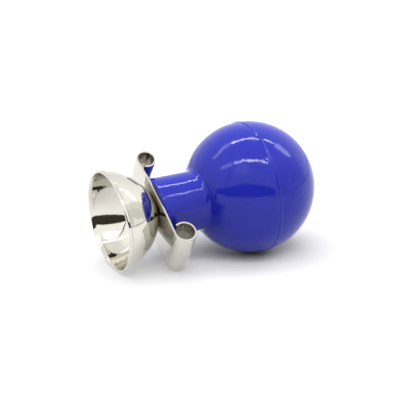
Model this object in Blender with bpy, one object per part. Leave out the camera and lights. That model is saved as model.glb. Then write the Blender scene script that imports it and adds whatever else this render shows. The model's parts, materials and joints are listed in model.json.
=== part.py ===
"""A chest suction electrode: a blue rubber bulb pushed onto the barbed hollow stem of a nickel-plated
suction cup, with a spring-metal contact clip that swivels on the stem between them.

Sizes are in millimetres until the last step, which turns them into metres. A turned piece is drawn as an
outline of (radius, station): the station runs along the object's own axis, from 0 at the cup's rim to
about 52 at the back of the bulb. The finished object lies on its side on a table at height 0.
"""

import math

import bmesh
import bpy
from mathutils import Matrix, Vector

for old in list(bpy.data.objects):
    bpy.data.objects.remove(old, do_unlink=True)

MM = 0.001

# Suction cup: a spun dome with a flat seat on its crown, a small bead round its rim and a flared mouth.
# Its inside has a fuller curve than its outside, because spinning thins the wall at the shoulder.
RIM_RADIUS = 12.0
DOME_DEPTH = 11.576
DOME_POWER = 1.598
DOME_ROOT = 1.0 / 2.047
CUP_WALL = 0.75
INNER_DEPTH = 10.65
INNER_POWER = 1.5
INNER_ROOT = 0.4
SEAT_STATION = 10.895
BEAD_ROUND = 0.35
BEAD_PROUD = 0.13
BEAD_WIDTH = 0.95
FLARE_DEPTH = 0.9
LAND_INNER = 11.45
STEM_HOLE = 3.06

# Hollow stem: riveted over inside the cup, with a shoulder and three barbs on the bulb's side.
BORE_RADIUS = 1.9
SHANK_RADIUS = 3.0
HEAD_RADIUS = 3.6
HEAD_THICK = 0.75
SHOULDER_RADIUS = 4.85
SHOULDER_THICK = 0.7
BARB_RADIUS = 4.85
BARB_ROOT = 4.05
BARB_PITCH = 2.2
BARB_COUNT = 3
SEATING_GAP = 0.03

# Contact clip: one strip of spring metal, its arms bent a little towards the cup, a socket rolled at each end.
STRIP_THICK = 0.45
STRIP_WIDTH = 12.4
STRIP_STATION = 11.16
BEND_AT = 3.6
BIG_BEND = math.radians(2.1)
BIG_ROLL_AT = 11.16
BIG_ROLL_MEAN = 2.46
SMALL_BEND = math.radians(3.7)
SMALL_ROLL_AT = 10.23
SMALL_ROLL_MEAN = 2.1
ROLL_SWEEP = math.radians(305)

# Rubber bulb: two moulded halves bonded at the seam, the front one with the neck.
BALL_RADIUS = 15.57
BALL_STATION = 36.4
BALL_WALL = 2.15
SEAM_STATION = 36.73
SEAM_GAP = 0.04
SEAM_PROUD = 0.08
SEAM_WIDTH = 0.4
NECK_END = 11.42
NECK_END_RADIUS = 7.47
NECK_ROOT_RADIUS = 7.03
NECK_BORE = 4.93
NECK_FILLET = 1.5

ROUND_STEPS = 48


def arc(centre, radius, start, end, steps):
    """Points of an arc round centre, from one angle to another in degrees; 0 is outward, 90 is up the axis."""
    angles = [math.radians(start + (end - start) * i / steps) for i in range(steps + 1)]
    return [(centre[0] + radius * math.cos(a), centre[1] + radius * math.sin(a)) for a in angles]


def material(name, colour, roughness, metallic):
    made = bpy.data.materials.new(name)
    made.use_nodes = True
    shader = made.node_tree.nodes["Principled BSDF"]
    shader.inputs["Base Color"].default_value = (*colour, 1.0)
    shader.inputs["Roughness"].default_value = roughness
    shader.inputs["Metallic"].default_value = metallic
    made.diffuse_color = (*colour, 1.0)
    return made


def as_object(name, bm, look, parent):
    """Finish a body: faces outward, smooth shading with crisp edges, material, and a place on its parent."""
    bmesh.ops.remove_doubles(bm, verts=bm.verts, dist=1e-5 * MM)
    bmesh.ops.recalc_face_normals(bm, faces=bm.faces)
    mesh = bpy.data.meshes.new(name)
    bm.to_mesh(mesh)
    bm.free()
    mesh.shade_smooth()
    mesh.set_sharp_from_angle(angle=math.radians(32))
    mesh.materials.append(look)
    made = bpy.data.objects.new(name, mesh)
    bpy.context.collection.objects.link(made)
    made.parent = parent
    return made


def turned(name, outline, look, parent):
    """A closed outline turned round the axis. Where it touches the axis, its two ends on it are left open."""
    bm = bmesh.new()
    verts = [bm.verts.new((radius * MM, 0.0, station * MM)) for radius, station in outline]
    for a, b in zip(verts, verts[1:] + verts[:1]):
        if a.co.x > 0 or b.co.x > 0:
            bm.edges.new((a, b))
    bmesh.ops.spin(
        bm,
        geom=bm.verts[:] + bm.edges[:],
        cent=(0, 0, 0),
        axis=(0, 0, 1),
        angle=math.tau,
        steps=ROUND_STEPS,
        use_merge=True,
    )
    return as_object(name, bm, look, parent)


def empty(name, parent, matrix):
    made = bpy.data.objects.new(name, None)
    bpy.context.collection.objects.link(made)
    made.parent = parent
    made.matrix_local = matrix
    return made


def bowl_radius(station, radius, depth, power, root):
    """A rounded bowl, full at the rim and shallower towards its crown."""
    return radius * (1.0 - (station / depth) ** power) ** root


def outer_radius(station):
    return bowl_radius(station, RIM_RADIUS, DOME_DEPTH, DOME_POWER, DOME_ROOT)


def inner_radius(station):
    return bowl_radius(station, RIM_RADIUS - CUP_WALL, INNER_DEPTH, INNER_POWER, INNER_ROOT)


def rim_drop(tilt):
    """How far the rim's bead reaches below the rim's centre when the cup's axis is raised by tilt."""
    inner = RIM_RADIUS - BEAD_ROUND
    return inner * math.cos(tilt) - BEAD_ROUND * math.sin(tilt) + BEAD_ROUND


def lying_tilt():
    """The axis's tilt when the cup's rim and the bulb both touch the table."""
    tilt = 0.1
    for _ in range(30):
        tilt = math.asin((BALL_RADIUS - rim_drop(tilt)) / BALL_STATION)
    return tilt


def roll_start(at, bend):
    """The station at which a bent arm of the strip reaches its roll."""
    return STRIP_STATION - (at - BEND_AT) * math.tan(bend)


def big_roll_height(turn, tilt):
    """Height over the table of the big socket's lowest corner, for a clip turned by turn about the axis."""
    outer = BIG_ROLL_MEAN + STRIP_THICK / 2
    station = roll_start(BIG_ROLL_AT, BIG_BEND) + BIG_ROLL_MEAN * math.cos(BIG_BEND)
    out = BIG_ROLL_AT + BIG_ROLL_MEAN * math.sin(BIG_BEND)
    along = rim_drop(tilt) + station * math.sin(tilt)
    across = out * math.cos(turn) - STRIP_WIDTH / 2 * math.sin(turn)
    reach = outer * math.hypot(math.cos(turn) * math.cos(tilt), math.sin(tilt))
    return along + across * math.cos(tilt) - reach


def clip_turn(tilt):
    """The clip's turn about the axis at which its big socket's corner touches the table as the third foot."""
    high, low = math.radians(118), math.radians(134)
    sign = big_roll_height(high, tilt) > 0
    for _ in range(50):
        middle = (high + low) / 2
        if (big_roll_height(middle, tilt) > 0) == sign:
            high = middle
        else:
            low = middle
    return middle


# How the object lies: its axis tilted up towards the bulb, its own X up, its Y across, its Z along the axis.
tilt = lying_tilt()
axis = Vector((math.cos(tilt), 0.0, math.sin(tilt)))
upward = Vector((-math.sin(tilt), 0.0, math.cos(tilt)))
across = axis.cross(upward)
rim_back = (BEAD_ROUND - RIM_RADIUS) * math.sin(tilt) + BEAD_ROUND * math.cos(tilt) - BEAD_ROUND
bulb_front = BALL_STATION * math.cos(tilt) + BALL_RADIUS
middle_x = (rim_back + bulb_front) / 2

lying = Matrix((upward, across, axis)).transposed().to_4x4()
lying.translation = Vector((-middle_x, 0.0, rim_drop(tilt))) * MM
electrode_axis = empty("electrode_axis", None, lying)
clip_pivot = empty("clip_pivot", electrode_axis, Matrix.Rotation(clip_turn(tilt), 4, "Z"))

nickel = material("cup_nickel", (0.74, 0.72, 0.67), 0.12, 1.0)
stem_nickel = material("stem_nickel", (0.70, 0.67, 0.60), 0.22, 1.0)
spring_nickel = material("clip_nickel", (0.72, 0.70, 0.66), 0.2, 1.0)
front_rubber = material("bulb_rubber_front", (0.02, 0.03, 0.42), 0.25, 0.0)
rear_rubber = material("bulb_rubber_rear", (0.02, 0.03, 0.42), 0.25, 0.0)

# The cup: rim land, bead, dome, seat with the stem's hole, then back down the inside to the flared mouth.
bead_base = outer_radius(BEAD_WIDTH) - BEAD_PROUD
cup = arc((RIM_RADIUS - BEAD_ROUND, BEAD_ROUND), BEAD_ROUND, -90, 0, 5)
cup += [(RIM_RADIUS, BEAD_WIDTH - 0.3), (RIM_RADIUS - 0.06, BEAD_WIDTH - 0.12), (bead_base, BEAD_WIDTH)]
dome_steps = 12
for i in range(1, dome_steps + 1):
    share = math.sin(math.radians(90) * i / dome_steps)
    station = BEAD_WIDTH + (SEAT_STATION - BEAD_WIDTH) * share
    cup.append((outer_radius(station) - BEAD_PROUD * (1 - share), station))
cup.append((STEM_HOLE, SEAT_STATION))
inner_seat = SEAT_STATION - CUP_WALL
cup.append((STEM_HOLE, inner_seat))
for i in range(dome_steps, 0, -1):
    station = inner_seat * math.sin(math.radians(90) * i / dome_steps)
    cup.append((inner_radius(station), station))
flare_root = inner_radius(FLARE_DEPTH)
cup += [(flare_root, FLARE_DEPTH), (LAND_INNER - 0.07, 0.2), (LAND_INNER, 0.0)]
turned("suction_cup", cup, nickel, electrode_axis)

# The stem: riveted head inside the cup, shank through cup and clip, shoulder, barbs, lead-in, bore.
head_face = inner_seat - SEATING_GAP
shoulder_face = STRIP_STATION + STRIP_THICK / 2 + SEATING_GAP
barb_start = shoulder_face + SHOULDER_THICK + 0.8
stem = [(BORE_RADIUS + 0.5, head_face - HEAD_THICK)]
stem += arc((HEAD_RADIUS - 0.35, head_face - HEAD_THICK + 0.35), 0.35, -90, 0, 4)
stem += [(HEAD_RADIUS, head_face), (SHANK_RADIUS, head_face), (SHANK_RADIUS, shoulder_face)]
stem += [(SHOULDER_RADIUS, shoulder_face), (SHOULDER_RADIUS, shoulder_face + SHOULDER_THICK)]
stem.append((BARB_ROOT, shoulder_face + SHOULDER_THICK))
for i in range(BARB_COUNT):
    station = barb_start + i * BARB_PITCH
    stem += [(BARB_ROOT, station), (BARB_RADIUS, station), (BARB_RADIUS, station + 0.3)]
stem_end = barb_start + BARB_COUNT * BARB_PITCH + 0.3
stem += [(BARB_ROOT - 0.15, stem_end - 0.35), (BARB_ROOT - 0.6, stem_end), (BORE_RADIUS, stem_end)]
stem.append((BORE_RADIUS, head_face - HEAD_THICK + 0.5))
turned("hollow_stem", stem, stem_nickel, electrode_axis)

# The front half of the bulb: neck, fillet, half ball with the seam's ridge, and the hollow inside.
fillet_station = BALL_STATION - math.sqrt(
    (BALL_RADIUS + NECK_FILLET) ** 2 - (NECK_ROOT_RADIUS + NECK_FILLET) ** 2
)
meet = math.degrees(
    math.atan2(BALL_STATION - fillet_station, NECK_ROOT_RADIUS + NECK_FILLET)
)
seam_angle = math.degrees(math.asin((SEAM_STATION - BALL_STATION - SEAM_WIDTH) / BALL_RADIUS))
seam_edge = math.sqrt(BALL_RADIUS**2 - (SEAM_STATION - BALL_STATION) ** 2) + SEAM_PROUD
hollow_radius = BALL_RADIUS - BALL_WALL
hollow_seam = math.sqrt(hollow_radius**2 - (SEAM_STATION - BALL_STATION) ** 2)
hollow_front = math.degrees(math.acos((NECK_BORE + 0.35) / hollow_radius))
front_face = SEAM_STATION - SEAM_GAP / 2
front = [(NECK_BORE, NECK_END), (NECK_END_RADIUS - 0.35, NECK_END)]
front += arc((NECK_END_RADIUS - 0.35, NECK_END + 0.35), 0.35, -60, 0, 3)
front += arc((NECK_ROOT_RADIUS + NECK_FILLET, fillet_station), NECK_FILLET, 180, 180 - meet, 6)
front += arc((0, BALL_STATION), BALL_RADIUS, -meet, seam_angle, 14)[1:]
front += [(seam_edge, front_face - 0.12), (seam_edge, front_face), (hollow_seam, front_face)]
front += arc((0, BALL_STATION), hollow_radius, 0, -hollow_front, 9)
front.append((NECK_BORE, BALL_STATION - hollow_radius * math.sin(math.radians(hollow_front)) - 0.4))
turned("bulb_front_half", front, front_rubber, electrode_axis)

# The rear half of the bulb: a plain half ball, closed at the back.
rear_face = SEAM_STATION + SEAM_GAP / 2
rear_start = math.degrees(math.asin((SEAM_STATION + SEAM_WIDTH - BALL_STATION) / BALL_RADIUS))
hollow_start = math.degrees(math.asin((rear_face + 0.3 - BALL_STATION) / hollow_radius))
rear = [(hollow_seam, rear_face), (seam_edge, rear_face), (seam_edge, rear_face + 0.12)]
rear += arc((0, BALL_STATION), BALL_RADIUS, rear_start, 90, 14)[:-1]
rear += [(0.0, BALL_STATION + BALL_RADIUS), (0.0, BALL_STATION + hollow_radius)]
rear += arc((0, BALL_STATION), hollow_radius, 90, hollow_start, 10)[1:]
turned("bulb_rear_half", rear, rear_rubber, electrode_axis)


def roll(at, mean, bend, side, steps):
    """Middle line of a rolled socket, from its arm's end round to its free end: (distance, station)."""
    points = []
    for i in range(steps + 1):
        a = ROLL_SWEEP * i / steps - bend
        out = at + mean * (math.sin(a) + math.sin(bend))
        points.append((side * out, roll_start(at, bend) + mean * (math.cos(bend) - math.cos(a))))
    return points


def ribbon(points, thick):
    """The outline of a strip of even thickness along a middle line."""
    left, right = [], []
    for i, (x, z) in enumerate(points):
        before = points[max(i - 1, 0)]
        after = points[min(i + 1, len(points) - 1)]
        run = math.hypot(after[0] - before[0], after[1] - before[1])
        nx, nz = -(after[1] - before[1]) / run, (after[0] - before[0]) / run
        left.append((x + nx * thick / 2, z + nz * thick / 2))
        right.append((x - nx * thick / 2, z - nz * thick / 2))
    return left, right


# The clip: the strip's side view carried across its width, then drilled for the stem.
line = list(reversed(roll(SMALL_ROLL_AT, SMALL_ROLL_MEAN, SMALL_BEND, -1, 26)))
line += [(-BEND_AT, STRIP_STATION), (BEND_AT, STRIP_STATION)]
line += roll(BIG_ROLL_AT, BIG_ROLL_MEAN, BIG_BEND, 1, 30)
upper, lower = ribbon(line, STRIP_THICK)
bm = bmesh.new()
rows = []
for side in (-1, 1):
    y = side * STRIP_WIDTH / 2 * MM
    rows.append(
        (
            [bm.verts.new((x * MM, y, z * MM)) for x, z in upper],
            [bm.verts.new((x * MM, y, z * MM)) for x, z in lower],
        )
    )
(near_up, near_low), (far_up, far_low) = rows
last = len(line) - 1
for i in range(last):
    bm.faces.new((near_up[i], near_up[i + 1], far_up[i + 1], far_up[i]))
    bm.faces.new((near_low[i], far_low[i], far_low[i + 1], near_low[i + 1]))
    bm.faces.new((near_up[i], near_low[i], near_low[i + 1], near_up[i + 1]))
    bm.faces.new((far_up[i], far_up[i + 1], far_low[i + 1], far_low[i]))
for i in (0, last):
    bm.faces.new((near_up[i], far_up[i], far_low[i], near_low[i]))
clip = as_object("contact_clip", bm, spring_nickel, clip_pivot)

bpy.ops.mesh.primitive_cylinder_add(vertices=ROUND_STEPS, radius=STEM_HOLE * MM, depth=4 * MM)
drill = bpy.context.object
drill.name = "stem_hole_cutter"
drill.parent = clip_pivot
drill.location = (0, 0, STRIP_STATION * MM)
drill.hide_render = True
drill.display_type = "WIRE"
cut = clip.modifiers.new("stem_hole", "BOOLEAN")
cut.operation = "DIFFERENCE"
cut.solver = "EXACT"
cut.object = drill
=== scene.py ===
"""Looks of a chest suction electrode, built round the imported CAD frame.

The frame gives the place of everything. The turned pieces are drawn as outlines of (radius, station) in
millimetres, where the station runs along the electrode's own axis from 0 at the cup's rim.
"""

import json
import math

import bmesh
import bpy
from mathutils import Matrix, Vector, noise


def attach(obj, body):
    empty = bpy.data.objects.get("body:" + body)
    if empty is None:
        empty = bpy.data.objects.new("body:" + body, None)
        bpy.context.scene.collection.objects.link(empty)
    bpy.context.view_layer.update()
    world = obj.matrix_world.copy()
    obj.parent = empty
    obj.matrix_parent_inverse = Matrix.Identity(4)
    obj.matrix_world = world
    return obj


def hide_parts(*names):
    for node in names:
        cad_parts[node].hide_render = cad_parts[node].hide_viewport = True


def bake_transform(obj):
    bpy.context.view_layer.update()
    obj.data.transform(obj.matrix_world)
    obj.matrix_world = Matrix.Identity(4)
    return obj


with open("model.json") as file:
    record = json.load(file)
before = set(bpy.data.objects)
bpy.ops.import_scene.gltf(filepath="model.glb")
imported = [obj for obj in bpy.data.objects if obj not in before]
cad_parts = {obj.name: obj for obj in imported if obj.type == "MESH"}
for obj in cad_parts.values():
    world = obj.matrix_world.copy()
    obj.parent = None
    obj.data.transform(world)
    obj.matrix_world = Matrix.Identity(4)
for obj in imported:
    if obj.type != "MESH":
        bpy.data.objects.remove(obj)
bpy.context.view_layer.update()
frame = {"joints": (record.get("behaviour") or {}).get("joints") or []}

MM = 0.001

# ---------------------------------------------------------------- sizes, as in the CAD
RIM_RADIUS = 12.0
DOME_DEPTH = 11.576
DOME_POWER = 1.598
DOME_ROOT = 1.0 / 2.047
CUP_WALL = 0.75
INNER_DEPTH = 10.65
INNER_POWER = 1.5
INNER_ROOT = 0.4
SEAT_STATION = 10.895
BEAD_ROUND = 0.35
BEAD_PROUD = 0.13
BEAD_WIDTH = 0.95
FLARE_DEPTH = 0.9
LAND_INNER = 11.45
STEM_HOLE = 3.06
BORE_RADIUS = 1.9
SHANK_RADIUS = 3.0
HEAD_RADIUS = 3.6
HEAD_THICK = 0.75
SHOULDER_RADIUS = 4.85
SHOULDER_THICK = 0.7
BARB_RADIUS = 4.85
BARB_ROOT = 4.05
BARB_PITCH = 2.2
BARB_COUNT = 3
SEATING_GAP = 0.03
STRIP_THICK = 0.45
STRIP_WIDTH = 12.4
STRIP_STATION = 11.16
BEND_AT = 3.6
BIG_BEND = math.radians(2.1)
BIG_ROLL_AT = 11.16
BIG_ROLL_MEAN = 2.46
SMALL_BEND = math.radians(3.7)
SMALL_ROLL_AT = 10.23
SMALL_ROLL_MEAN = 2.1
ROLL_SWEEP = math.radians(305)
BALL_RADIUS = 15.57
BALL_STATION = 36.4
BALL_WALL = 2.15
SEAM_STATION = 36.73
NECK_END = 11.42
NECK_END_RADIUS = 7.47
NECK_ROOT_RADIUS = 7.03
NECK_BORE = 4.93
NECK_FILLET = 1.5

# ---------------------------------------------------------------- finer details, drawn only here
BEAD_EDGE_ROUND = 0.25
BEAD_EDGE_AT = 0.3  # how far inside the bead's width its back edge is rounded from
BEAD_EDGE_SWEEP = 62  # in degrees
BEAD_FOOT = 0.02
BEAD_RUN_OUT = 0.06  # how far past the bead the dome starts
FLARE_CLEAR = 0.05  # the dome's inside has no points nearer than this to the flare
FLARE_CURVE = [(0.0, FLARE_DEPTH), (0.05, 0.72), (0.115, 0.52), (0.19, 0.33), (0.235, 0.23)]
LAND_CURVE = [(-0.035, 0.13), (0.0, 0.05), (0.07, 0.0)]
CUP_WAVES = (((0.16, 0.16, 0.30), (0.0, 0.0, 7.0), 0.010), ((0.55, 0.55, 0.7), (3.0, 0.0, 0.0), 0.0015))
HEAD_FLARE_ROUND = 0.45
EDGE_ROUND = 0.35
FIRST_BARB_GAP = 0.8
BARB_LAND = 0.3
STEM_END_CURVE = [(-0.15, -0.35), (-0.6, 0.0)]
BORE_LEAD_IN = 0.4
BORE_EDGE = 0.35  # how far outside the bore's radius the ball's hollow ends
SEAM_HALF_WIDTH = 0.16
SEAM_HEIGHT = 0.17
SEAM_LOW_HEIGHT = 0.07  # on the side that lies on the floor, where the seam is pressed flat
SEAM_DIP = 0.03  # the skin draws in a little on both sides of the seam
SEAM_DIP_HALF_WIDTH = 0.9
PRESSED_FROM = 15.5  # how far below the axis the seam starts to rise, and over what height it does
PRESSED_OVER = 2.5
BORE_MARGIN = 0.5  # points of the bulb this far outside the bore, and this near the ball's surface, are skin
SKIN_DEPTH = 0.4
NECK_BEFORE = 14.0  # so are those farther than this before the ball's centre, which are on the neck
SIDEWAYS_BEFORE = 13.0  # from here on towards the neck's end the skin moves straight outwards
SEAM_WAVE = ((0.12, 0.12, 0.0), (0.0, 0.0, 4.0), 0.05)
RUBBER_WAVES = (
    ((0.13, 0.13, 0.13), (0.0, 0.0, 11.0), 0.045),
    ((0.45, 0.45, 0.45), (5.0, 0.0, 0.0), 0.012),
    ((1.3, 1.3, 1.3), (0.0, 9.0, 0.0), 0.003),
)
STEADY_FOR = 2.0  # the neck's end is true, and the unevenness grows over this length
BEND_BEFORE = 0.4
BEND_AFTER = 0.5
STRIP_EDGE_ROUND = 0.09
DRILL_DEPTH = 4.0
CLIP_TURN_RANGE = (math.radians(118), math.radians(134))

# ---------------------------------------------------------------- how finely the meshes are cut
ON_AXIS = 1e-6
HALVINGS = 50
BEAD_STEPS = 12
EDGE_STEPS = 8
FILLET_STEPS = 24
DOME_STEPS = 90
CUP_TURN_STEPS = 240
CUP_LONGEST = 0.6
STEM_TURN_STEPS = 128
STEM_LONGEST = 0.5
BULB_TURN_STEPS = 288
BULB_LONGEST = 0.48
BALL_BANDS = ((-2, 55), (4.4, 44), (90, 80))  # each band's last angle and its steps, finest across the seam
HOLLOW_STEPS = 79
SMALL_ROLL_STEPS = 60
BIG_ROLL_STEPS = 72
DRILL_SIDES = 96
# Edges sharper than this, in degrees, stay sharp, or are rounded on the strip.
SHARP, BULB_SHARP, STRIP_SHARP = 34, 50, 50

# ---------------------------------------------------------------- where the electrode lies
joints = {j["name"]: j for j in frame["joints"]}
axis = Vector(joints["clip_swivel"]["axis"]).normalized()
across = Vector((0.0, -1.0, 0.0))
upward = across.cross(axis).normalized()
pivot = Vector(joints["clip_swivel"]["pos_m"])
lying = Matrix((upward, across, axis)).transposed().to_4x4()
lying.translation = pivot - axis * STRIP_STATION * MM
tilt = math.asin(axis.z)


def rim_drop():
    """How high the middle of the rim's plane is above the floor that the bead rests on."""
    inner = RIM_RADIUS - BEAD_ROUND
    return inner * math.cos(tilt) - BEAD_ROUND * math.sin(tilt) + BEAD_ROUND


def roll_start(at, bend):
    return STRIP_STATION - (at - BEND_AT) * math.tan(bend)


def big_roll_height(turn):
    """How high the lowest point of the larger socket is when the clip is turned this far round the stem."""
    outer = BIG_ROLL_MEAN + STRIP_THICK / 2
    station = roll_start(BIG_ROLL_AT, BIG_BEND) + BIG_ROLL_MEAN * math.cos(BIG_BEND)
    out = BIG_ROLL_AT + BIG_ROLL_MEAN * math.sin(BIG_BEND)
    along = rim_drop() + station * math.sin(tilt)
    sideways = out * math.cos(turn) - STRIP_WIDTH / 2 * math.sin(turn)
    reach = outer * math.hypot(math.cos(turn) * math.cos(tilt), math.sin(tilt))
    return along + sideways * math.cos(tilt) - reach


def clip_turn():
    """The clip's angle round the stem at which its larger socket touches the floor, found by halving."""
    high, low = CLIP_TURN_RANGE
    sign = big_roll_height(high) > 0
    middle = high
    for _ in range(HALVINGS):
        middle = (high + low) / 2
        if (big_roll_height(middle) > 0) == sign:
            high = middle
        else:
            low = middle
    return middle


clip_lying = lying @ Matrix.Rotation(clip_turn(), 4, "Z")


# ---------------------------------------------------------------- mesh helpers
def arc(centre, radius, start, end, steps):
    angles = [math.radians(start + (end - start) * i / steps) for i in range(steps + 1)]
    return [(centre[0] + radius * math.cos(a), centre[1] + radius * math.sin(a)) for a in angles]


def refine(outline, longest):
    """The outline with every straight run cut into steps no longer than longest, in millimetres."""
    out = []
    for (r0, s0), (r1, s1) in zip(outline, outline[1:] + outline[:1]):
        steps = max(1, math.ceil(math.hypot(r1 - r0, s1 - s0) / longest))
        if r0 == 0.0 and r1 == 0.0:
            steps = 1
        out += [(r0 + (r1 - r0) * i / steps, s0 + (s1 - s0) * i / steps) for i in range(steps)]
    return out


def turned(name, outline, steps, shift=None):
    """Turn a closed outline round the axis; shift moves each point a little, for hand-made unevenness."""
    verts, rings, faces = [], [], []
    for radius, station in outline:
        if radius < ON_AXIS:
            rings.append([len(verts)])
            verts.append(Vector((0.0, 0.0, station)))
            continue
        rings.append(list(range(len(verts), len(verts) + steps)))
        for k in range(steps):
            a = math.tau * k / steps
            verts.append(Vector((radius * math.cos(a), radius * math.sin(a), station)))
    for one, two in zip(rings, rings[1:] + rings[:1]):
        if len(one) == 1 and len(two) == 1:
            continue
        for k in range(steps):
            m = (k + 1) % steps
            if len(one) == 1:
                faces.append((one[0], two[m], two[k]))
            elif len(two) == 1:
                faces.append((one[k], one[m], two[0]))
            else:
                faces.append((one[k], one[m], two[m], two[k]))
    if shift:
        verts = [shift(v) for v in verts]
    mesh = bpy.data.meshes.new(name)
    mesh.from_pydata([v * MM for v in verts], [], faces)
    return mesh


def place(name, mesh, matrix, sharp=SHARP):
    """Put a mesh in the scene as a piece, smooth except at edges sharper than sharp, in degrees."""
    bm = bmesh.new()
    bm.from_mesh(mesh)
    bmesh.ops.recalc_face_normals(bm, faces=bm.faces)
    bm.to_mesh(mesh)
    bm.free()
    mesh.transform(matrix)
    mesh.shade_smooth()
    mesh.set_sharp_from_angle(angle=math.radians(sharp))
    made = bpy.data.objects.new(name, mesh)
    bpy.context.collection.objects.link(made)
    return made


def wave(v, scale, offset, size):
    """Smooth noise at a point in millimetres; scale is how quickly it changes along each axis."""
    return noise.noise(Vector([part * s + o for part, s, o in zip(v, scale, offset)])) * size


# ---------------------------------------------------------------- the suction cup
def outer_radius(station):
    return RIM_RADIUS * (1.0 - (station / DOME_DEPTH) ** DOME_POWER) ** DOME_ROOT


def inner_radius(station):
    return (RIM_RADIUS - CUP_WALL) * (1.0 - (station / INNER_DEPTH) ** INNER_POWER) ** INNER_ROOT


def cup_outline():
    base = outer_radius(BEAD_WIDTH) - BEAD_PROUD
    points = arc((RIM_RADIUS - BEAD_ROUND, BEAD_ROUND), BEAD_ROUND, -90, 0, BEAD_STEPS)
    back_edge = (RIM_RADIUS - BEAD_EDGE_ROUND, BEAD_WIDTH - BEAD_EDGE_AT)
    points += arc(back_edge, BEAD_EDGE_ROUND, 0, BEAD_EDGE_SWEEP, EDGE_STEPS)
    points += [(base + BEAD_FOOT, BEAD_WIDTH - BEAD_FOOT), (base, BEAD_WIDTH + BEAD_RUN_OUT)]
    for i in range(1, DOME_STEPS + 1):
        share = math.sin(math.radians(90) * i / DOME_STEPS)
        station = BEAD_WIDTH + BEAD_RUN_OUT + (SEAT_STATION - BEAD_WIDTH - BEAD_RUN_OUT) * share
        points.append((outer_radius(station) - BEAD_PROUD * (1 - share), station))
    points.append((STEM_HOLE, SEAT_STATION))
    inner_seat = SEAT_STATION - CUP_WALL
    points.append((STEM_HOLE, inner_seat))
    for i in range(DOME_STEPS, 0, -1):
        station = inner_seat * math.sin(math.radians(90) * i / DOME_STEPS)
        if station > FLARE_DEPTH + FLARE_CLEAR:
            points.append((inner_radius(station), station))
    points += [(inner_radius(FLARE_DEPTH) + out, station) for out, station in FLARE_CURVE]
    points += [(LAND_INNER + out, station) for out, station in LAND_CURVE]
    return points


def cup_shift(v):
    """Spun metal is never quite true: a faint out-of-round wave along the wall."""
    factor = 1.0 + sum(wave(v, *each) for each in CUP_WAVES) / RIM_RADIUS
    return Vector((v.x * factor, v.y * factor, v.z))


cup_line = refine(cup_outline(), CUP_LONGEST)
cup = place("suction_cup_skin", turned("suction_cup_skin", cup_line, CUP_TURN_STEPS, cup_shift), lying)


# ---------------------------------------------------------------- the hollow stem
def stem_outline():
    head_face = SEAT_STATION - CUP_WALL - SEATING_GAP
    shoulder = STRIP_STATION + STRIP_THICK / 2 + SEATING_GAP
    start = shoulder + SHOULDER_THICK + FIRST_BARB_GAP
    low = head_face - HEAD_THICK
    flare = (BORE_RADIUS + HEAD_FLARE_ROUND, low + HEAD_FLARE_ROUND)
    points = arc(flare, HEAD_FLARE_ROUND, 180, 270, EDGE_STEPS)
    points += arc((HEAD_RADIUS - EDGE_ROUND, low + EDGE_ROUND), EDGE_ROUND, -90, 0, EDGE_STEPS)
    points += [(HEAD_RADIUS, head_face), (SHANK_RADIUS, head_face), (SHANK_RADIUS, shoulder)]
    points += [(SHOULDER_RADIUS, shoulder), (SHOULDER_RADIUS, shoulder + SHOULDER_THICK)]
    points.append((BARB_ROOT, shoulder + SHOULDER_THICK))
    for i in range(BARB_COUNT):
        station = start + i * BARB_PITCH
        points += [(BARB_ROOT, station), (BARB_RADIUS, station), (BARB_RADIUS, station + BARB_LAND)]
    end = start + BARB_COUNT * BARB_PITCH + BARB_LAND
    points += [(BARB_ROOT + out, end + past) for out, past in STEM_END_CURVE]
    points.append((BORE_RADIUS, end))
    return points


stem_line = refine(stem_outline(), STEM_LONGEST)
stem = place("hollow_stem_skin", turned("hollow_stem_skin", stem_line, STEM_TURN_STEPS), lying)


# ---------------------------------------------------------------- the rubber bulb, one piece across the seam
def bulb_outline():
    reach = BALL_RADIUS + NECK_FILLET
    fillet_at = BALL_STATION - math.sqrt(reach**2 - (NECK_ROOT_RADIUS + NECK_FILLET) ** 2)
    meet = math.degrees(math.atan2(BALL_STATION - fillet_at, NECK_ROOT_RADIUS + NECK_FILLET))
    points = [(NECK_BORE, NECK_END)]
    points += arc((NECK_END_RADIUS - EDGE_ROUND, NECK_END + EDGE_ROUND), EDGE_ROUND, -90, 0, EDGE_STEPS)
    points += arc((NECK_ROOT_RADIUS + NECK_FILLET, fillet_at), NECK_FILLET, 180, 180 - meet, FILLET_STEPS)
    start = -meet
    for end, steps in BALL_BANDS:
        points += arc((0, BALL_STATION), BALL_RADIUS, start, end, steps)[1:]
        start = end
    points[-1] = (0.0, BALL_STATION + BALL_RADIUS)
    hollow = BALL_RADIUS - BALL_WALL
    front = math.degrees(math.acos((NECK_BORE + BORE_EDGE) / hollow))
    inside = arc((0, BALL_STATION), hollow, 90, -front, HOLLOW_STEPS)
    inside[0] = (0.0, BALL_STATION + hollow)
    points += inside
    points.append((NECK_BORE, BALL_STATION - hollow * math.sin(math.radians(front)) - BORE_LEAD_IN))
    return points


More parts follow.
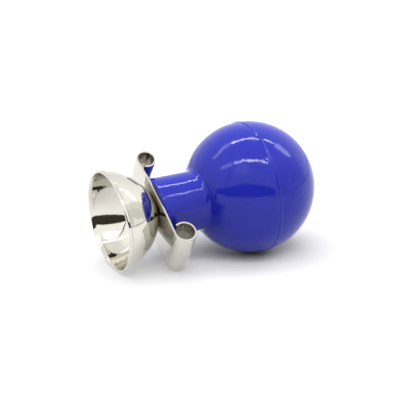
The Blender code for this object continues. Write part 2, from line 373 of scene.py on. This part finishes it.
def bulb_shift(v):
    """Moulded rubber: a raised parting line at the seam, and a skin that is never quite a true sphere."""
    radius = math.hypot(v.x, v.y)
    on_ball = math.hypot(radius, v.z - BALL_STATION) > BALL_RADIUS - SKIN_DEPTH
    on_neck = v.z < BALL_STATION - NECK_BEFORE
    if radius <= NECK_BORE + BORE_MARGIN or not (on_ball or on_neck):
        return v
    if v.z > BALL_STATION - SIDEWAYS_BEFORE:
        normal = Vector((v.x, v.y, v.z - BALL_STATION)).normalized()
    else:
        normal = Vector((v.x, v.y, 0.0)).normalized()
    from_seam = v.z - SEAM_STATION - wave(v, *SEAM_WAVE)
    raised = min(1.0, max(0.0, (v.x + PRESSED_FROM) / PRESSED_OVER))
    height = SEAM_LOW_HEIGHT + (SEAM_HEIGHT - SEAM_LOW_HEIGHT) * raised
    ridge = height * math.exp(-((from_seam / SEAM_HALF_WIDTH) ** 2))
    dip = SEAM_DIP * math.exp(-((from_seam / SEAM_DIP_HALF_WIDTH) ** 2))
    fade = min(1.0, max(0.0, (v.z - NECK_END) / STEADY_FOR))
    return v + normal * (ridge - dip + fade * sum(wave(v, *each) for each in RUBBER_WAVES))


bulb_line = refine(bulb_outline(), BULB_LONGEST)
bulb = place("rubber_bulb", turned("rubber_bulb", bulb_line, BULB_TURN_STEPS, bulb_shift), lying, BULB_SHARP)


# ---------------------------------------------------------------- the contact clip
def roll(at, mean, bend, side, steps):
    points = []
    for i in range(steps + 1):
        a = ROLL_SWEEP * i / steps - bend
        out = at + mean * (math.sin(a) + math.sin(bend))
        points.append((side * out, roll_start(at, bend) + mean * (math.cos(bend) - math.cos(a))))
    return points


def strip_mesh():
    """The strip with a rolled socket at each end, before its hole is drilled and its edges are rounded."""
    line = list(reversed(roll(SMALL_ROLL_AT, SMALL_ROLL_MEAN, SMALL_BEND, -1, SMALL_ROLL_STEPS)))
    line.append((-BEND_AT - BEND_AFTER, roll_start(BEND_AT + BEND_AFTER, SMALL_BEND)))
    line += [(-BEND_AT + BEND_BEFORE, STRIP_STATION), (BEND_AT - BEND_BEFORE, STRIP_STATION)]
    line.append((BEND_AT + BEND_AFTER, roll_start(BEND_AT + BEND_AFTER, BIG_BEND)))
    line += roll(BIG_ROLL_AT, BIG_ROLL_MEAN, BIG_BEND, 1, BIG_ROLL_STEPS)
    bm = bmesh.new()
    sides = []
    for y in (-STRIP_WIDTH / 2, STRIP_WIDTH / 2):
        pair = []
        for direction in (1, -1):
            row = []
            for i, (x, z) in enumerate(line):
                before, after = line[max(i - 1, 0)], line[min(i + 1, len(line) - 1)]
                run = math.hypot(after[0] - before[0], after[1] - before[1])
                nx, nz = -(after[1] - before[1]) / run, (after[0] - before[0]) / run
                half = direction * STRIP_THICK / 2
                row.append(bm.verts.new(((x + nx * half) * MM, y * MM, (z + nz * half) * MM)))
            pair.append(row)
        sides.append(pair)
    (near_up, near_low), (far_up, far_low) = sides
    last = len(line) - 1
    for i in range(last):
        bm.faces.new((near_up[i], near_up[i + 1], far_up[i + 1], far_up[i]))
        bm.faces.new((near_low[i], far_low[i], far_low[i + 1], near_low[i + 1]))
        bm.faces.new((near_up[i], near_low[i], near_low[i + 1], near_up[i + 1]))
        bm.faces.new((far_up[i], far_up[i + 1], far_low[i + 1], far_low[i]))
    for i in (0, last):
        bm.faces.new((near_up[i], far_up[i], far_low[i], near_low[i]))
    mesh = bpy.data.meshes.new("contact_clip_skin")
    bmesh.ops.recalc_face_normals(bm, faces=bm.faces)
    bm.to_mesh(mesh)
    bm.free()
    return mesh


clip = bpy.data.objects.new("contact_clip_skin", strip_mesh())
bpy.context.collection.objects.link(clip)
bpy.ops.mesh.primitive_cylinder_add(vertices=DRILL_SIDES, radius=STEM_HOLE * MM, depth=DRILL_DEPTH * MM)
drill = bpy.context.object
drill.location = (0, 0, STRIP_STATION * MM)
hole = clip.modifiers.new("stem_hole", "BOOLEAN")
hole.operation = "DIFFERENCE"
hole.solver = "EXACT"
hole.object = drill
edges = clip.modifiers.new("rounded_edges", "BEVEL")
edges.width = STRIP_EDGE_ROUND * MM
edges.segments = 3
edges.limit_method = "ANGLE"
edges.angle_limit = math.radians(STRIP_SHARP)
bpy.context.view_layer.update()
finished = bpy.data.meshes.new_from_object(clip.evaluated_get(bpy.context.evaluated_depsgraph_get()))
bpy.data.objects.remove(drill)
bpy.data.objects.remove(clip)
finished.name = "contact_clip_skin"
clip = place("contact_clip_skin", finished, clip_lying)

# ---------------------------------------------------------------- the looks in numbers
# Noise scales are per metre, bump distances and places on the floor are in metres, and colours are linear.
SMUDGES, HAIR_LINES, PLATING_PEEL = 260.0, 1500.0, 900.0
LEVEL, ACROSS_THE_AXIS = (1, 1, 8), (8, 1, 1)  # the planes that the plating's hair lines lie in
PEEL_DEPTH, HAIR_DEPTH, HAIR_STRENGTH = 0.00002, 0.000006, 0.25
RUBBER_LIGHT, RUBBER_DARK = (0.0098, 0.0146, 0.269), (0.0086, 0.0130, 0.247)
RUBBER_CLOUDS, RUBBER_HANDLING, RUBBER_GRAIN, RUBBER_LUMPS = 160.0, 420.0, 5200.0, 700.0
RUBBER_ROUGHNESS = (0.07, 0.14)
RUBBER_IOR = 1.33
LUMP_DEPTH, LUMP_STRENGTH, GRAIN_DEPTH, GRAIN_STRENGTH = 0.00005, 0.55, 0.000004, 0.3
FLOOR_SHADE = (0.39, 0.39, 0.3939)
# Painted shade: the camera sees the floor round the object in this darker colour, fading out between these
# distances from a middle point beside the object.
FLOOR_PAINTED_SHADE = (0.33, 0.33, 0.334)
PAINTED_SHADE_MIDDLE = (0.012, -0.012, 0.0)
PAINTED_SHADE_FROM, PAINTED_SHADE_TO = 0.036, 0.075
ROOM_SHADE, ROOM_SHADE_BEHIND, OVERHEAD_SHADE = 1.50, 1.18, 1.2
ROOM_DIFFUSE_SHARE = 0.50
METAL_SHARE = 0.08  # how much of each tube the metal sees


# ---------------------------------------------------------------- materials
def new_material(name):
    made = bpy.data.materials.new(name)
    made.use_nodes = True
    tree = made.node_tree
    shader = tree.nodes["Principled BSDF"]
    return made, tree, shader


def add(tree, kind, **settings):
    node = tree.nodes.new(kind)
    for key, value in settings.items():
        setattr(node, key, value)
    return node


def noise_node(tree, coords, scale, detail, roughness, stretch=(1, 1, 1)):
    mapping = add(tree, "ShaderNodeMapping")
    mapping.inputs["Scale"].default_value = [scale * s for s in stretch]
    tree.links.new(coords, mapping.inputs["Vector"])
    made = add(tree, "ShaderNodeTexNoise")
    made.inputs["Scale"].default_value = 1.0
    made.inputs["Detail"].default_value = detail
    made.inputs["Roughness"].default_value = roughness
    tree.links.new(mapping.outputs["Vector"], made.inputs["Vector"])
    return made.outputs["Fac"]


def remap(tree, value, low_in, high_in, low_out, high_out):
    node = add(tree, "ShaderNodeMapRange")
    for key, number in (("From Min", low_in), ("From Max", high_in), ("To Min", low_out), ("To Max", high_out)):
        node.inputs[key].default_value = number
    tree.links.new(value, node.inputs["Value"])
    return node.outputs["Result"]


def blend_colour(tree, value, one, two):
    node = add(tree, "ShaderNodeMix", data_type="RGBA")
    node.inputs["A"].default_value = (*one, 1.0)
    node.inputs["B"].default_value = (*two, 1.0)
    tree.links.new(value, node.inputs["Factor"])
    return node.outputs["Result"]


def bump(tree, height, distance, strength, normal=None):
    node = add(tree, "ShaderNodeBump")
    node.inputs["Distance"].default_value = distance
    node.inputs["Strength"].default_value = strength
    tree.links.new(height, node.inputs["Height"])
    if normal:
        tree.links.new(normal, node.inputs["Normal"])
    return node.outputs["Normal"]


def nickel_look(name, bright, dull, smooth, rough, hair_run, peel):
    """Nickel plate: smudges set its colour and roughness, over a faint orange peel and hair lines."""
    made, tree, shader = new_material(name)
    coords = add(tree, "ShaderNodeTexCoord").outputs["Object"]
    smudge = noise_node(tree, coords, SMUDGES, 4.0, 0.6)
    colour = blend_colour(tree, remap(tree, smudge, 0.35, 0.68, 0.0, 1.0), bright, dull)
    tree.links.new(colour, shader.inputs["Base Color"])
    shader.inputs["Metallic"].default_value = 1.0
    tree.links.new(remap(tree, smudge, 0.35, 0.75, smooth, rough), shader.inputs["Roughness"])
    hair = noise_node(tree, coords, HAIR_LINES, 2.0, 0.5, hair_run)
    skin = noise_node(tree, coords, PLATING_PEEL, 2.0, 0.5)
    first = bump(tree, skin, PEEL_DEPTH, peel)
    tree.links.new(bump(tree, hair, HAIR_DEPTH, HAIR_STRENGTH, first), shader.inputs["Normal"])
    return made


def rubber_look(name):
    """Glossy moulded rubber: clouded colour, roughness from handling, and slow lumps under a fine grain."""
    made, tree, shader = new_material(name)
    coords = add(tree, "ShaderNodeTexCoord").outputs["Object"]
    cloud = noise_node(tree, coords, RUBBER_CLOUDS, 4.0, 0.55)
    colour = blend_colour(tree, remap(tree, cloud, 0.3, 0.7, 0.0, 1.0), RUBBER_DARK, RUBBER_LIGHT)
    tree.links.new(colour, shader.inputs["Base Color"])
    handled = noise_node(tree, coords, RUBBER_HANDLING, 4.0, 0.6)
    tree.links.new(remap(tree, handled, 0.3, 0.75, *RUBBER_ROUGHNESS), shader.inputs["Roughness"])
    shader.inputs["IOR"].default_value = RUBBER_IOR
    grain = noise_node(tree, coords, RUBBER_GRAIN, 3.0, 0.6)
    lumps = noise_node(tree, coords, RUBBER_LUMPS, 2.0, 0.5)
    first = bump(tree, lumps, LUMP_DEPTH, LUMP_STRENGTH)
    tree.links.new(bump(tree, grain, GRAIN_DEPTH, GRAIN_STRENGTH, first), shader.inputs["Normal"])
    return made


cup_look = nickel_look(
    "cup_nickel_look", bright=(0.61, 0.59, 0.532), dull=(0.575, 0.556, 0.498), smooth=0.03, rough=0.08,
    hair_run=LEVEL, peel=0.55,
)
stem_look = nickel_look(
    "stem_nickel_look", bright=(0.56, 0.53, 0.47), dull=(0.49, 0.46, 0.41), smooth=0.10, rough=0.25,
    hair_run=LEVEL, peel=0.4,
)
clip_look = nickel_look(
    "clip_nickel_look", bright=(0.61, 0.595, 0.545), dull=(0.565, 0.55, 0.50), smooth=0.05, rough=0.10,
    hair_run=ACROSS_THE_AXIS, peel=0.5,
)
bulb_look = rubber_look("bulb_rubber_look")
for piece, look in ((cup, cup_look), (stem, stem_look), (clip, clip_look), (bulb, bulb_look)):
    piece.data.materials.append(look)

# ---------------------------------------------------------------- riding on the frame
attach(cup, "cup_and_stem")
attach(stem, "cup_and_stem")
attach(clip, "clip")
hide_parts("suction_cup")
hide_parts("hollow_stem")
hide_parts("contact_clip")
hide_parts("bulb_front_half", "bulb_rear_half")
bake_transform(bulb)


# ---------------------------------------------------------------- floor and cards
def flat_material(name, colour, emission=None, strength=0.0):
    made, _, shader = new_material(name)
    shader.inputs["Base Color"].default_value = (*colour, 1.0)
    shader.inputs["Roughness"].default_value = 0.9
    shader.inputs["Specular IOR Level"].default_value = 0.0
    if emission:
        shader.inputs["Emission Color"].default_value = (*emission, 1.0)
        shader.inputs["Emission Strength"].default_value = strength
    return made


def sheet(name, corners, look, camera=False):
    """A flat stage piece through the corners, in millimetres; camera says whether the camera sees it."""
    mesh = bpy.data.meshes.new(name)
    mesh.from_pydata([Vector(c) * MM for c in corners], [], [tuple(range(len(corners)))])
    mesh.materials.append(look)
    made = bpy.data.objects.new(name, mesh)
    bpy.context.collection.objects.link(made)
    made.visible_camera = camera
    return made


# The camera sees the floor round the object painted a little darker than it is where the metal mirrors it: a
# painted shade round the object.
floor_look = flat_material("floor_paper", FLOOR_SHADE)
tree = floor_look.node_tree
place_on_floor = add(tree, "ShaderNodeTexCoord").outputs["Object"]
from_middle = add(tree, "ShaderNodeVectorMath", operation="DISTANCE")
from_middle.inputs[1].default_value = PAINTED_SHADE_MIDDLE
tree.links.new(place_on_floor, from_middle.inputs[0])
# Painted shade: near the middle point the camera sees the darker colour, fading to the floor's own colour
# farther out.
near = remap(tree, from_middle.outputs["Value"], PAINTED_SHADE_FROM, PAINTED_SHADE_TO, 1.0, 0.0)
painted_shade_amount = add(tree, "ShaderNodeMath", operation="MULTIPLY")
tree.links.new(near, painted_shade_amount.inputs[0])
tree.links.new(add(tree, "ShaderNodeLightPath").outputs["Is Camera Ray"], painted_shade_amount.inputs[1])
paper = blend_colour(tree, painted_shade_amount.outputs["Value"], FLOOR_SHADE, FLOOR_PAINTED_SHADE)
tree.links.new(paper, tree.nodes["Principled BSDF"].inputs["Base Color"])
floor_corners = [(-3000, -3000, 0), (3000, -3000, 0), (3000, 3000, 0), (-3000, 3000, 0)]
floor = sheet("floor", floor_corners, floor_look, True)

# The cards stand on a circle round the object, where the metal and the rubber mirror them.
ROOM = 380.0
ROOM_CENTRE = Vector((-20.0, 0.0, 12.0))


def toward(azimuth, elevation, distance=ROOM):
    """The point this far out; azimuth 0 is straight in front, and positive ones are to the right."""
    a, e = math.radians(azimuth), math.radians(elevation)
    return ROOM_CENTRE + distance * Vector((math.sin(a), -math.cos(a), math.tan(e)))


def above_floor(corners):
    for corner in corners:
        corner.z = max(corner.z, 1.0)
    return corners


black = flat_material("dark_card", (0.012, 0.011, 0.010), (1.0, 0.78, 0.56), 0.045)
front_top = [(-106, 0.6), (-92, 2.5), (-80, 6.0), (-64, 11.0), (-45, 17.0), (-28, 22.5), (-12, 21.5)]
front_top += [(2, 17.0), (14, 13.0), (24, 9.0)]
front = [toward(az, el) for az, el in front_top] + [toward(az, -1.0) for az, _ in reversed(front_top)]
dark_front = sheet("dark_front_opening", above_floor(front), black)
seam_corners = [(-68.5, 50), (-67.0, 50), (-65.2, 14), (-67.5, 14)]
dark_corner = sheet("dark_corner_seam", [toward(az, el) for az, el in seam_corners], black)

# Three grey cards inside one another give the side wall a soft edge.
side_top = [(25, 27.0), (40, 36.0), (52, 40.0), (64, 39.5), (78, 35.0), (90, 24.0)]
SIDE_MIDDLE, SIDE_HALF = 57, 32
LAYER_GAP = 4
TOP_DRAWN_IN, FOOT_DRAWN_IN = 0.8, 0.3  # for each degree that a card is narrower
grey_sides = []
for layer, (inset, share) in enumerate(((0.0, 1.30), (3.0, 1.14), (6.0, 0.98))):
    grey = flat_material(f"grey_card_{layer}", (0.0, 0.0, 0.0), (1.0, 1.0, 0.98), share)
    narrower = 1 - inset / SIDE_HALF
    high = [(SIDE_MIDDLE + (az - SIDE_MIDDLE) * narrower, el - inset * TOP_DRAWN_IN) for az, el in side_top]
    low = [(az, 0.5 + inset * FOOT_DRAWN_IN) for az, _ in reversed(high)]
    side = [toward(az, el, ROOM - LAYER_GAP * layer) for az, el in high + low]
    grey_sides.append(sheet(f"grey_side_wall_{layer}", above_floor(side), grey))

bright = flat_material("bright_card", (0.0, 0.0, 0.0), (1.0, 1.0, 0.99), 2.2)
window = [(-60, 37), (-42, 38), (-22, 39), (-24, 55), (-42, 57), (-58, 53)]
bright_front = sheet("bright_front_card", [toward(az, el) for az, el in window], bright)
for card in (dark_front, dark_corner, bright_front, *grey_sides):
    card.visible_shadow = False
    card.visible_diffuse = False


# ---------------------------------------------------------------- lamps
def grouped(name, objects):
    """A collection of objects that a lamp lights, or that shade it."""
    group = bpy.data.collections.new(name)
    for item in objects:
        group.objects.link(item)
    return group


soft_set = grouped("lit_by_tubes", [bulb, floor])
metal_set = grouped("lit_by_dimmed_tubes", [cup, stem, clip])
rubber_only = grouped("shading_soft_lamps", [bulb])


def area_light(name, size, strength):
    """A rectangular area light; its strength is its brightness, whatever its size."""
    data = bpy.data.lights.new(name, "AREA")
    data.shape = "RECTANGLE"
    data.size, data.size_y = size
    data.energy = strength * math.pi * size[0] * size[1]
    return bpy.data.objects.new(name, data)


def tube(name, start, end, width, strength, lit=None):
    """A long narrow lamp overhead, from start to end; the metal sees a dimmed copy of each."""
    if lit is None:
        tube(name + "_dimmed", start, end, width, strength * METAL_SHARE, metal_set)
        lit = soft_set
    first, last = Vector((*start, TUBE_HEIGHT)), Vector((*end, TUBE_HEIGHT))
    run = (last - first) * MM
    made = area_light(name, (run.length, width * MM), strength)
    bpy.context.collection.objects.link(made)
    middle = (first + last) / 2 * MM
    along = run.normalized()
    down = (Vector((0, 0, AIM_HEIGHT * MM)) - middle).normalized()
    down = (down - along * down.dot(along)).normalized()
    side = (-down).cross(along)
    turn = Matrix((along, side, -down)).transposed().to_4x4()
    turn.translation = middle
    made.matrix_world = turn
    made.light_linking.receiver_collection = lit


def soft_lamp(name, where, size, strength, lit, aimed=True):
    """A soft lamp, aimed at the object or straight down; only the rubber shades it and nothing mirrors it."""
    made = area_light(name, size, strength)
    made.location = where
    if aimed:
        made.rotation_mode = "QUATERNION"
        made.rotation_quaternion = (-made.location).to_track_quat("-Z", "Y")
    made.visible_glossy = False
    made.light_linking.receiver_collection = lit
    made.light_linking.blocker_collection = rubber_only
    bpy.context.collection.objects.link(made)


# Two rows of tubes run overhead; each row's pieces differ in width and brightness.
TUBE_HEIGHT = 400
AIM_HEIGHT = 12
tube("back_row_left", (-420, 288), (-105, 172), 60, 3.9)
tube("back_row_middle", (-92, 167), (148, 78), 15, 36.0)
tube("back_row_right", (175, 69), (282, 29), 15, 36.0)
tube("back_row_far", (305, 21), (640, -104), 105, 5.4)
tube("front_row_left", (-540, 11), (-285, -98), 55, 4.5)
tube("front_row_right", (-268, -106), (145, -283), 21, 28.5)
tube("front_row_end", (150, -205), (188, -246), 14, 24.0)

# The last three of the soft lamps light only the floor, so that its shadows stay as faint as the photo's.
soft_lamp("soft_top", (-0.04, 0.02, 0.60), (0.5, 0.5), 4.3, soft_set, aimed=False)
front_set = grouped("lit_by_front_fill", [floor])
soft_lamp("front_fill", (-0.05, -0.42, 0.50), (0.5, 0.35), 9.0, front_set)
for side_name, side_x in (("side_left", -0.45), ("side_right", 0.45)):
    side_set = grouped("lit_by_" + side_name, [floor])
    soft_lamp(side_name, (side_x, 0.2, 0.2), (0.3, 0.2), 14, side_set)

# ---------------------------------------------------------------- the room's light
world = bpy.data.worlds.new("studio")
bpy.context.scene.world = world
world.use_nodes = True
sky = world.node_tree
direction = add(sky, "ShaderNodeTexCoord")
split = add(sky, "ShaderNodeSeparateXYZ")
sky.links.new(direction.outputs["Generated"], split.inputs["Vector"])
behind = remap(sky, split.outputs["Y"], 0.15, 0.75, 0.0, 1.0)
sides = blend_colour(sky, behind, (ROOM_SHADE,) * 3, (ROOM_SHADE_BEHIND,) * 3)
overhead = remap(sky, split.outputs["Z"], 0.79, 0.87, 0.0, 1.0)
room = blend_colour(sky, overhead, (1.0, 1.0, 1.0), (OVERHEAD_SHADE,) * 3)
sky.links.new(sides, room.node.inputs["A"])
sky.links.new(room, sky.nodes["Background"].inputs["Color"])
rays = add(sky, "ShaderNodeLightPath")
share = remap(sky, rays.outputs["Is Diffuse Ray"], 0.0, 1.0, 1.0, ROOM_DIFFUSE_SHARE)
sky.links.new(share, sky.nodes["Background"].inputs["Strength"])

# ---------------------------------------------------------------- camera
camera_data = bpy.data.cameras.new("camera")
camera_data.lens = 158.0
camera_data.sensor_width = 36.0
camera_data.clip_start = 0.01
camera_data.clip_end = 20.0
camera = bpy.data.objects.new("camera", camera_data)
bpy.context.collection.objects.link(camera)
target = Vector((-6.455, -9.16, 17.156)) * MM
camera.location = Vector((-173.5, -352.9, 135.27)) * MM
camera.rotation_mode = "QUATERNION"
camera.rotation_quaternion = (target - camera.location).to_track_quat("-Z", "Y")
bpy.context.scene.camera = camera
bpy.context.scene.view_settings.view_transform = "Standard"
bpy.context.scene.cycles.glossy_bounces = 7  # the cup and the clip mirror each other many times
